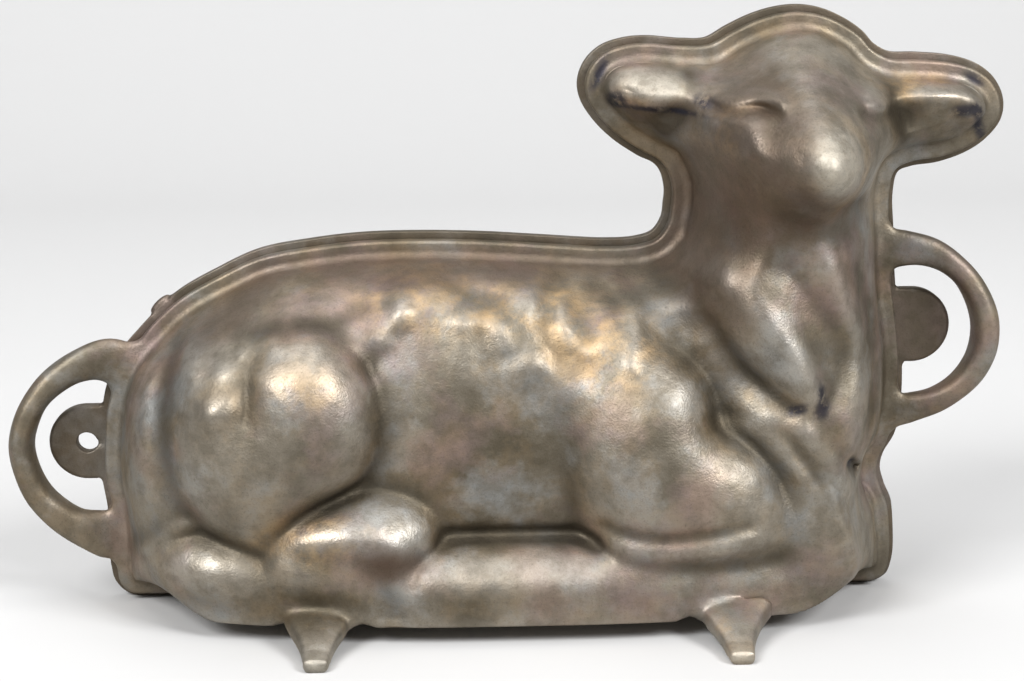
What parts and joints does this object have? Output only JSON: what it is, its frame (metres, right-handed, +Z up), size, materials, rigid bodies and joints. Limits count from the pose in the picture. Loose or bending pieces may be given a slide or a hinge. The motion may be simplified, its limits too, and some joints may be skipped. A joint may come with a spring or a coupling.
{
  "type": "lamb cake mould",
  "caption": "Cast-iron cake mould in the shape of a reclining lamb: two hollow halves that meet at a flat rim, with finger loops, feet and hanging tab.",
  "frame": {"origin": "on the ground, under the middle of the closed mould's bounding box", "axes": "+X along the mould from the lamb's rump to its head, -Y out of the face side, +Z up; the parting plane is square to Y"},
  "size_m": [0.3252, 0.1254, 0.1948],
  "materials": {
    "front_iron": "seasoned grey iron, worn to a soft brown-grey sheen, with a fine sand-cast grain",
    "back_iron": "seasoned grey iron, darker and less worn"
  },
  "bodies": {
    "front": {"front_half": "front_iron"},
    "back": {"back_half": "back_iron"}
  },
  "joints": [
    {"name": "lift_off", "type": "slide", "parent": "front", "child": "back", "axis": [0, 1, 0], "range_m": [0, 0.13]}
  ]
}
